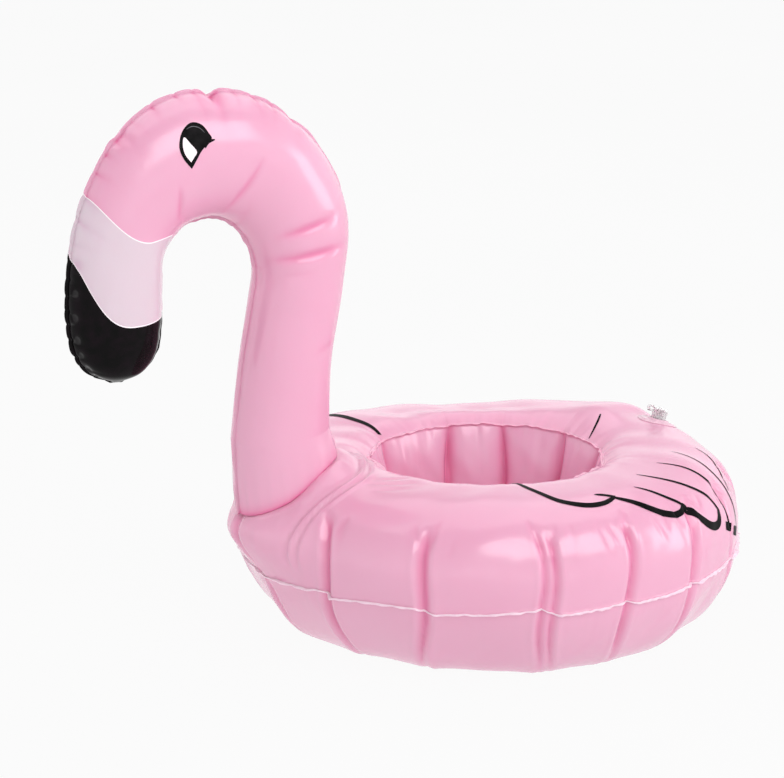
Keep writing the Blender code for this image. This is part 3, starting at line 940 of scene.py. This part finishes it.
# The glint is a painted highlight: a thin grey arc near the eye's top edge.
EYE_GLINT = ((-142.9, 223.6), (-140.4, 224.6), (-137.6, 224.0), (-135.6, 222.0))
EYE_LASH = ((-136.6, 216.6), (-134.6, 218.6), (-131.9, 219.3))


def eye_print(tree, side, black, white, grey):
    tag = "right" if side > 0 else "left"
    return [
        head_patch("eye_black_" + tag, tree, side, EYE_OUTLINE, 0.10 * MM, black),
        head_patch("eye_white_" + tag, tree, side, EYE_WHITE, 0.16 * MM, white),
        head_stroke("eye_glint_" + tag, tree, side, EYE_GLINT, 0.28, (0, 0), 0.17 * MM, grey),
        head_stroke("eye_lash_" + tag, tree, side, EYE_LASH, 1.1, (1, 0.1), 0.12 * MM, black),
    ]


# Wing print on the bird's left, as (degrees, mm from the rim along the film), with width and end shares
WING_STROKES = (
    (
        ((-110, 3), (-107, 14), (-103.5, 25), (-99.5, 34), (-94, 40), (-88.5, 40.5), (-84, 38)),
        2.3,
        (0.55, 0.45),
    ),
    (((-88.5, 33.5), (-86, 35), (-83.5, 38)), 1.3, (0.1, 0.8)),
    (((-84.5, 37.5), (-81, 43), (-77, 49), (-72.5, 53.5), (-68.5, 54.5), (-65.5, 51.5)), 2.2, (0.4, 0.45)),
    (((-75, 35), (-71.5, 41), (-68.5, 47), (-65.5, 53)), 1.2, (0.05, 0.7)),
    (((-66, 52), (-63, 60), (-59, 65.5), (-55.5, 66), (-53, 61)), 2.4, (0.6, 0.5)),
    (((-53, 62), (-54.5, 54), (-58.5, 45), (-62.5, 34), (-65.5, 26)), 1.2, (0.9, 0.05)),
    (((-50.5, 26), (-49, 38), (-48.5, 50), (-48, 62), (-48, 72)), 1.1, (0.05, 0.4)),
    (((-37, 29), (-39, 40), (-41.5, 52), (-42, 64), (-42, 76)), 1.0, (0.05, 0.4)),
    (((-27, 40), (-30, 47), (-36, 54), (-40, 60)), 0.6, (0.05, 0.2)),
    (((-52, 69), (-49.5, 71), (-47.5, 72)), 2.6, (0.9, 0.9)),
    (((-46.0, 74), (-44, 75.5), (-41.5, 77)), 2.6, (0.9, 0.9)),
)
# The far wing: degrees it is turned by, points cut from a thin end, weight of its lines, mm further down
FAR_WING_TURN = 12.5
FAR_WING_TRIM = 2
FAR_WING_WEIGHT = 1.45
FAR_WING_DROP = 11
TAIL_STROKE = (((-1.0, 1.0), (1.5, 5), (4.5, 9.5), (8.0, 14)), 0.9, (0.2, 0.5))


def wing_print(material):
    """The left wing's lines, the far wing's, which are mirrored and lack the thin ends, and the tail's."""
    pieces = []
    for index, (spots, width, ends) in enumerate(WING_STROKES):
        pieces.append(ring_stroke(f"wing_left_{index:02d}", spots, width, ends, material))
        first, last = (FAR_WING_TRIM if end < 0.2 and len(spots) > 3 else 0 for end in ends)
        mirrored = []
        for angle, arc in spots[first : len(spots) - last]:
            mirrored.append((FAR_WING_TURN - angle, arc + FAR_WING_DROP * float(smoothstep(8, 32, arc))))
        weight = width * FAR_WING_WEIGHT
        pieces.append(ring_stroke(f"wing_right_{index:02d}", mirrored, weight, ends, material))
    spots, width, ends = TAIL_STROKE
    pieces.append(ring_stroke("tail_mark", spots, width, ends, material))
    return pieces


# ---- valve


VALVE_HOLE_R = 5.2 * MM
# Outlines of the valve's turned pieces, as (radius, height) in mm in the valve's own frame
PATCH_OUTLINE = (
    (3.75, 0.05),
    (3.75, 1.3),
    (4.7, 1.3),
    (5.3, 0.75),
    (6.6, 0.65),
    (6.9, 0.85),
    (7.5, 0.85),
    (7.8, 0.6),
    (9.0, 0.35),
    (9.1, 0.05),
)
TUBE_INSIDE = ((2.2, -9.0), (2.2, 4.6), (2.45, 5.0))
TUBE_OUTLINE = TUBE_INSIDE + ((3.5, 5.0), (3.5, 3.6), (3.3, 3.2), (3.3, -7.6), (3.5, -9.0))
STOPPER_OUTLINE = ((1.3, 2.7), (2.0, 5.3), (3.4, 5.3), (3.4, 6.2), (2.2, 6.2), (1.9, 5.9))
# The lug on the stem and the strap that ends in it, as (along, height) in mm, and their thickness and width
LUG = (((-6.3, 4.6), (-5.2, 4.65), (-4.2, 4.6), (-3.3, 4.5)), 0.5, 2.4)
STRAP = (((-3.0, 5.8), (-4.2, 6.3), (-5.3, 6.8), (-6.3, 6.4), (-6.6, 5.8), (-6.5, 5.25)), 0.6, 2.4)


def joint_named(name):
    return next(j for j in frame["joints"] if j["name"] == name)


def valve_matrix():
    """The valve's own frame: +Z out of the film along the stem, placed by the hinge of its strap."""
    out = -Vector(joint_named("stem_push_in")["axis"]).normalized()
    side = Vector((0, 1, 0))
    along = side.cross(out)
    hinge = Vector(joint_named("plug_open")["pos_m"])
    place = hinge + along * 6.5 * MM - out * 5.0 * MM
    matrix = Matrix((along, side, out)).transposed().to_4x4()
    matrix.translation = place
    return matrix


def lathe(name, profile, steps, matrix, material, wall=None):
    """A solid turned from a closed (radius, height) outline in mm. wall maps a local point to its place."""
    outline = np.array(profile) * MM
    turn = np.arange(steps) * 2 * math.pi / steps
    points = []
    for radius, height in outline:
        for a in turn:
            local = Vector((radius * math.cos(a), radius * math.sin(a), height))
            points.append(tuple(wall(local) if wall else matrix @ local))
    rows = len(outline)
    faces = grid_faces(rows, steps, True).tolist()
    for j in range(steps):
        k = (j + 1) % steps
        faces.append([(rows - 1) * steps + j, j, k, (rows - 1) * steps + k])
    obj = new_piece(name, points, faces, [material])
    obj.data.set_sharp_from_angle(angle=math.radians(50))
    return obj


def rounded(corners, radius, steps=4):
    """A closed outline with each corner rounded by arcs of that radius, in the units of the corners."""
    out = []
    count = len(corners)
    for i in range(count):
        here = np.array(corners[i], float)
        to_last = np.array(corners[i - 1], float) - here
        to_next = np.array(corners[(i + 1) % count], float) - here
        cut = min(radius, 0.45 * np.linalg.norm(to_last), 0.45 * np.linalg.norm(to_next))
        a = here + to_last / np.linalg.norm(to_last) * cut
        b = here + to_next / np.linalg.norm(to_next) * cut
        for t in np.linspace(0, 1, steps):
            out.append((1 - t) ** 2 * a + 2 * t * (1 - t) * here + t**2 * b)
    return out


def valve_hole(top, matrix):
    """Opens the ring's film under the valve's patch, so that the stem passes through it."""
    bm = bmesh.new()
    bm.from_mesh(top.data)
    back = matrix.inverted()
    inside = []
    for face in bm.faces:
        local = back @ face.calc_center_median()
        if abs(local.z) < 10 * MM and math.hypot(local.x, local.y) < VALVE_HOLE_R:
            inside.append(face)
    bmesh.ops.delete(bm, geom=inside, context="FACES")
    bm.to_mesh(top.data)
    bm.free()


def valve_flange_piece(matrix, tree, material):
    """The welded patch: it follows the film, with an embossed ring and the stem's collar."""
    out = matrix.to_3x3() @ Vector((0, 0, 1))

    def on_film(local):
        level = matrix @ Vector((local.x, local.y, 0.004))
        hit, _, _, _ = tree.ray_cast(level, -out)
        base = hit if hit is not None else matrix @ Vector((local.x, local.y, 0))
        return base + out * local.z

    return lathe("valve_patch", rounded(PATCH_OUTLINE, 0.2, 3), 72, matrix, material, on_film)


def merged(first, second):
    """Adds the second piece's mesh to the first one's, so that both are one moulding."""
    bm = bmesh.new()
    bm.from_mesh(first.data)
    bm.from_mesh(second.data)
    bm.to_mesh(first.data)
    bm.free()
    bpy.data.objects.remove(second)
    return first


def valve_stem_piece(matrix, material):
    stem = lathe("valve_tube", rounded(TUBE_OUTLINE, 0.25), 64, matrix, material)
    return merged(stem, bar("valve_lug", *LUG, matrix, material))


def bar(name, line, thick, wide, matrix, material):
    """A strip with rounded edges along a line of (x, z) points in mm."""
    path = through(line, 8)
    along = units(np.gradient(path, axis=0))
    across = np.stack([-along[:, 1], along[:, 0]], 1)
    ring = []
    for a in np.arange(16) * math.pi / 8:  # a rounded rectangle
        flat = np.sign(math.cos(a)) * abs(math.cos(a)) ** 0.5
        tall = np.sign(math.sin(a)) * abs(math.sin(a)) ** 0.7
        ring.append((flat * wide / 2, tall * thick / 2))
    points = []
    for i in range(len(path)):
        for flat, tall in ring:
            spot = path[i] + across[i] * tall
            points.append(tuple(matrix @ (Vector((spot[0], flat, spot[1])) * MM)))
    faces = grid_faces(len(path), len(ring), True).tolist()
    last = (len(path) - 1) * len(ring)
    faces += [list(range(len(ring))), list(reversed(range(last, last + len(ring))))]
    obj = new_piece(name, points, faces, [material])
    bm = bmesh.new()
    bm.from_mesh(obj.data)
    bmesh.ops.recalc_face_normals(bm, faces=bm.faces)
    bm.to_mesh(obj.data)
    bm.free()
    return obj


def valve_plug_piece(matrix, material):
    axis = 0.0001
    ends = [np.array((axis, STOPPER_OUTLINE[0][1])), np.array((axis, STOPPER_OUTLINE[-1][1]))]
    outline = ends[:1] + rounded(STOPPER_OUTLINE, 0.22, 4) + ends[1:]
    plug = lathe("valve_stopper", outline, 64, matrix, material)
    return merged(plug, bar("valve_strap", *STRAP, matrix, material))


# ---- materials


def new_material(name):
    material = bpy.data.materials.new(name)
    material.use_nodes = True
    return material, material.node_tree, material.node_tree.nodes["Principled BSDF"]


def noise(tree, scale, detail=3.0):
    coords = tree.nodes.new("ShaderNodeTexCoord")
    texture = tree.nodes.new("ShaderNodeTexNoise")
    texture.inputs["Scale"].default_value = scale
    texture.inputs["Detail"].default_value = detail
    tree.links.new(coords.outputs["Object"], texture.inputs["Vector"])
    return texture.outputs["Fac"]


def remap(tree, value, low, high, to_low, to_high):
    node = tree.nodes.new("ShaderNodeMapRange")
    for key, number in (("From Min", low), ("From Max", high), ("To Min", to_low), ("To Max", to_high)):
        node.inputs[key].default_value = number
    tree.links.new(value, node.inputs["Value"])
    return node.outputs["Result"]


def blend_colour(tree, factor, first, second):
    """A colour between two, by factor. Each is a colour or another blend's output."""
    node = tree.nodes.new("ShaderNodeMix")
    node.data_type = "RGBA"
    tree.links.new(factor, node.inputs["Factor"])
    for socket, colour in (("A", first), ("B", second)):
        target = next(s for s in node.inputs if s.name == socket and s.type == "RGBA")
        if isinstance(colour, tuple):
            target.default_value = colour
        else:
            tree.links.new(colour, target)
    return next(s for s in node.outputs if s.type == "RGBA")


def mottled(tree, scale, low, high, first, second):
    """A colour that wanders between two with noise of that scale, which low and high turn into 0 and 1."""
    return blend_colour(tree, remap(tree, noise(tree, scale), low, high, 0.0, 1.0), first, second)


def creased_share(tree):
    attribute = tree.nodes.new("ShaderNodeAttribute")
    attribute.attribute_name = "creased"
    return attribute.outputs["Fac"]


def surfaced(tree, shader, base, gloss, grain):
    """Links a colour, a roughness (scale, detail, low, high, from, to) and a bump (scale, strength)."""
    tree.links.new(base, shader.inputs["Base Color"])
    tree.links.new(remap(tree, noise(tree, *gloss[:2]), *gloss[2:]), shader.inputs["Roughness"])
    bump = tree.nodes.new("ShaderNodeBump")
    bump.inputs["Strength"].default_value = grain[1]
    bump.inputs["Distance"].default_value = BUMP_HEIGHT
    tree.links.new(noise(tree, grain[0], 2.0), bump.inputs["Height"])
    tree.links.new(bump.outputs["Normal"], shader.inputs["Normal"])


def film_material(name, light, deep, mottle):
    """Soft glossy film: a colour darkened in creases as painted shade, faint mottling, and a fine calendered
    grain.
    """
    material, tree, shader = new_material(name)
    base = blend_colour(tree, creased_share(tree), mottled(tree, 16.0, 0.35, 0.65, light, mottle), deep)
    surfaced(tree, shader, base, (45.0, 1.0, 0.2, 0.8, *FILM_ROUGH), (900.0, 0.06))
    shader.inputs["Specular IOR Level"].default_value = 0.75
    shader.inputs["Subsurface Weight"].default_value = 0.25
    shader.inputs["Subsurface Radius"].default_value = (1.0, 0.35, 0.5)
    shader.inputs["Subsurface Scale"].default_value = 4 * MM
    return material


def weld_material(name, colour, speck):
    """Pressed weld flange: finely ribbed by the welding die, and duller than the film."""
    material, tree, shader = new_material(name)
    base = mottled(tree, 420.0, 0.4, 0.6, colour, speck)
    surfaced(tree, shader, base, (300.0, 3.0, 0.3, 0.7, 0.28, 0.45), (2200.0, 0.25))
    return material


def ink_material(name, colour, worn, rough, shine=0.15, gathered_shine=None, index=1.2):
    """Screen-printed ink with a slightly uneven coat, which may be glossier where its film is gathered."""
    material, tree, shader = new_material(name)
    base = mottled(tree, 240.0, 0.35, 0.7, colour, worn)
    surfaced(tree, shader, base, (90.0, 3.0, 0.3, 0.7, *rough), (900.0, 0.05))
    shader.inputs["IOR"].default_value = index
    shader.inputs["Specular IOR Level"].default_value = shine
    if gathered_shine is not None:
        gloss = remap(tree, creased_share(tree), 0.50, 0.80, shine, gathered_shine)
        tree.links.new(gloss, shader.inputs["Specular IOR Level"])
    return material


def clear_material(name, colour, cloudy, clarity):
    """Clear soft moulding, slightly milky, with fine flow marks."""
    material, tree, shader = new_material(name)
    base = mottled(tree, 500.0, 0.4, 0.6, colour, cloudy)
    surfaced(tree, shader, base, (350.0, 3.0, 0.3, 0.7, 0.08, 0.2), (1400.0, 0.08))
    shader.inputs["Transmission Weight"].default_value = clarity
    shader.inputs["IOR"].default_value = 1.45
    return material


BUMP_HEIGHT = 0.2 * MM
FILM_ROUGH = (0.17, 0.22)
# Each film's darker crease colour here is painted shade, blended in where the film is creased.
PINK = (0.855, 0.350, 0.515, 1)
PINK_MOTTLE = (0.860, 0.365, 0.530, 1)
PINK_CREASE_SHADE = (0.820, 0.190, 0.370, 1)
# The well's pink is a lighter copy of the film's pink, painted light that lifts the shade inside the well.
WELL_LIT_PINK = (0.890, 0.430, 0.610, 1)
WELL_CREASE_SHADE = (0.860, 0.250, 0.440, 1)
PALE = (0.740, 0.520, 0.620, 1)
PALE_MOTTLE = (0.75, 0.535, 0.63, 1)
PALE_CREASE_SHADE = (0.700, 0.420, 0.560, 1)
BLACK = (0.003, 0.003, 0.003, 1)
BLACK_FILM = (BLACK, (0.007, 0.004, 0.006, 1))
BLACK_INK = (BLACK, (0.010, 0.009, 0.010, 1))
# The outer weld's pale colour is partly its doubled, translucent edge and partly a painted highlight.
WELD_WITH_HIGHLIGHT = ((0.950, 0.720, 0.820, 1), (0.92, 0.64, 0.77, 1))
RIM_WELD = ((0.900, 0.480, 0.630, 1), (0.88, 0.42, 0.58, 1))
WHITE_INK = ((0.93, 0.80, 0.86, 1), (0.91, 0.77, 0.84, 1))
GLINT_GREY = ((0.10, 0.10, 0.11, 1), (0.14, 0.14, 0.15, 1))
KEYLINE_INK = ((0.93, 0.86, 0.89, 1), (0.90, 0.80, 0.85, 1))
CLEAR = ((0.93, 0.90, 0.91, 1), (0.84, 0.80, 0.82, 1))
CLEAR_PINK = ((0.93, 0.62, 0.74, 1), (0.90, 0.56, 0.69, 1))


# ---- studio


FLOOR_LEVEL = -0.6 * MM


def area_light(name, place, aim, size, power):
    data = bpy.data.lights.new(name, "AREA")
    data.shape = "RECTANGLE"
    data.size, data.size_y = size
    data.energy = power
    light = bpy.data.objects.new(name, data)
    light.location = place
    light.rotation_euler = (Vector(aim) - Vector(place)).to_track_quat("-Z", "Y").to_euler()
    bpy.context.scene.collection.objects.link(light)


def studio_floor():
    """A wide pale floor that fills the view and gives off its own even light."""
    material, tree, shader = new_material("studio_floor")
    glow = mottled(tree, 3.0, 0.3, 0.7, (0.94, 0.94, 0.94, 1), (0.945, 0.945, 0.945, 1))
    tree.links.new(glow, shader.inputs["Emission Color"])
    shader.inputs["Emission Strength"].default_value = 1.0
    shader.inputs["Base Color"].default_value = (0.02, 0.02, 0.02, 1)
    shader.inputs["Roughness"].default_value = 1.0
    shader.inputs["Specular IOR Level"].default_value = 0.0
    half = 9.0
    corners = [(x, y, FLOOR_LEVEL) for x, y in ((-half, -half), (half, -half), (half, half), (-half, half))]
    new_piece("studio_floor", corners, [(0, 1, 2, 3)], [material])


# The sky's strength near the horizon and overhead, and its share of that on the side the camera is on
SKY_LOW = 1.25
SKY_HIGH = 0.35
SKY_FRONT = 0.9
# Softboxes: place, size and power
SOFTBOXES = {
    "top_softbox": ((0.0, 0.42, 1.20), (1.8, 1.3), 8.0),
    "front_softbox": ((0.15, -1.15, 1.05), (1.6, 0.8), 13.0),
    "side_softbox": ((1.30, -0.65, 0.40), (0.5, 0.7), 3.0),
    "low_softbox": ((-0.55, -1.45, 0.12), (1.6, 0.2), 0.5),
}


def studio():
    studio_floor()
    world = bpy.data.worlds.new("studio")
    world.use_nodes = True
    tree = world.node_tree
    coords = tree.nodes.new("ShaderNodeTexCoord")
    axes = tree.nodes.new("ShaderNodeSeparateXYZ")
    tree.links.new(coords.outputs["Generated"], axes.inputs["Vector"])
    strength = tree.nodes.new("ShaderNodeMath")
    strength.operation = "MULTIPLY"
    tree.links.new(remap(tree, axes.outputs["Z"], 0.15, 0.75, SKY_LOW, SKY_HIGH), strength.inputs[0])
    tree.links.new(remap(tree, axes.outputs["Y"], -0.85, -0.25, SKY_FRONT, 1.0), strength.inputs[1])
    tree.links.new(strength.outputs[0], tree.nodes["Background"].inputs["Strength"])
    tree.nodes["Background"].inputs["Color"].default_value = (1, 1, 1, 1)
    bpy.context.scene.world = world
    centre = (CUP_X - 0.05, 0, 0.08)
    for name, (place, size, power) in SOFTBOXES.items():
        area_light(name, place, centre, size, power)


CAMERA_AZIMUTH = -28.0
CAMERA_ELEVATION = 14.95
CAMERA_DISTANCE = 1.200
CAMERA_TARGET = (-0.0250, 0.0409, 0.0913)
CAMERA_LENS = 125.1


def camera():
    azimuth, elevation = math.radians(CAMERA_AZIMUTH), math.radians(CAMERA_ELEVATION)
    level = math.cos(elevation)
    back = Vector((math.sin(azimuth) * level, -math.cos(azimuth) * level, math.sin(elevation)))
    target = Vector(CAMERA_TARGET) + Vector((CUP_X, 0, 0))
    data = bpy.data.cameras.new("camera")
    data.sensor_fit = "HORIZONTAL"
    data.sensor_width = 36.0
    data.lens = CAMERA_LENS
    data.clip_start = 0.01
    obj = bpy.data.objects.new("camera", data)
    obj.location = target + back * CAMERA_DISTANCE
    obj.rotation_euler = (-back).to_track_quat("-Z", "Y").to_euler()
    bpy.context.scene.collection.objects.link(obj)
    bpy.context.scene.camera = obj


# ---- assembly


def inflated(obj, node):
    """A film piece that air holds out: it stands for its CAD panel and moves with the float."""
    film_thickness(obj)
    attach(obj, "float")
    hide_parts(node)


def build():
    pink = film_material("pink_film", PINK, PINK_CREASE_SHADE, PINK_MOTTLE)
    # The well's film is the pink film made lighter, as painted light inside the well.
    well = film_material("well_film_lit", WELL_LIT_PINK, WELL_CREASE_SHADE, PINK)
    # The outer weld flange is paler than the film, partly as a painted highlight.
    weld = weld_material("weld_flange_highlit", *WELD_WITH_HIGHLIGHT)
    rim_weld = weld_material("rim_weld", *RIM_WELD)
    pale = film_material("pale_print_film", PALE, PALE_CREASE_SHADE, PALE_MOTTLE)
    black_film = ink_material("black_print_film", *BLACK_FILM, (0.08, 0.13), 0.07, 0.28, 1.5)
    black = ink_material("black_ink", *BLACK_INK, (0.35, 0.50))
    white = ink_material("white_ink", *WHITE_INK, (0.18, 0.3))
    # The grey is the eye's painted highlight.
    grey = ink_material("grey_glint", *GLINT_GREY, (0.2, 0.3))
    keyline = ink_material("white_keyline", *KEYLINE_INK, (0.18, 0.28), 0.5, None, 1.5)
    clear = clear_material("clear_valve", *CLEAR, 0.75)
    patch_clear = clear_material("clear_patch", *CLEAR_PINK, 0.25)

    top = ring_top_film([pink, weld, rim_weld])
    inflated(top, "ring_top_panel")
    inflated(ring_bottom_film([pink, weld]), "ring_bottom_panel")
    inflated(cup_wall_film([well, rim_weld]), "cup_wall")
    floor = cup_floor_film([well])
    film_thickness(floor, FLOOR_FILM)
    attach(floor, "float")
    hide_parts("cup_floor")

    for side, node in ((-1, "neck_left_panel"), (1, "neck_right_panel")):
        materials = [pink, pale, black_film, keyline]
        film = head_films(side, materials)
        for edge, print_material in ((pale_edge, pale), (black_edge, black_film)):
            print_zone(film, edge, KEYLINE, materials.index(keyline))
            print_zone(film, edge, 0.0, materials.index(print_material))
        tree = surface_of(film)
        inflated(film, node)
        for piece in eye_print(tree, side, black, white, grey):
            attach(piece, "float")
    for piece in wing_print(black):
        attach(piece, "float")

    matrix = valve_matrix()
    patch = valve_flange_piece(matrix, surface_of(top), patch_clear)
    valve_hole(top, matrix)
    stem = valve_stem_piece(matrix, clear)
    plug = valve_plug_piece(matrix, clear)
    owners = ((patch, "float", "valve_flange"), (stem, "stem", "valve_stem"), (plug, "plug", "valve_plug"))
    for piece, body, node in owners:
        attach(piece, body)
        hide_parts(node)
    flap = frame["nodes"]["valve_check_flap"]
    flap.data.materials.clear()
    flap.data.materials.append(clear)


camera()
studio()
build()
bpy.context.scene.view_settings.view_transform = "Standard"
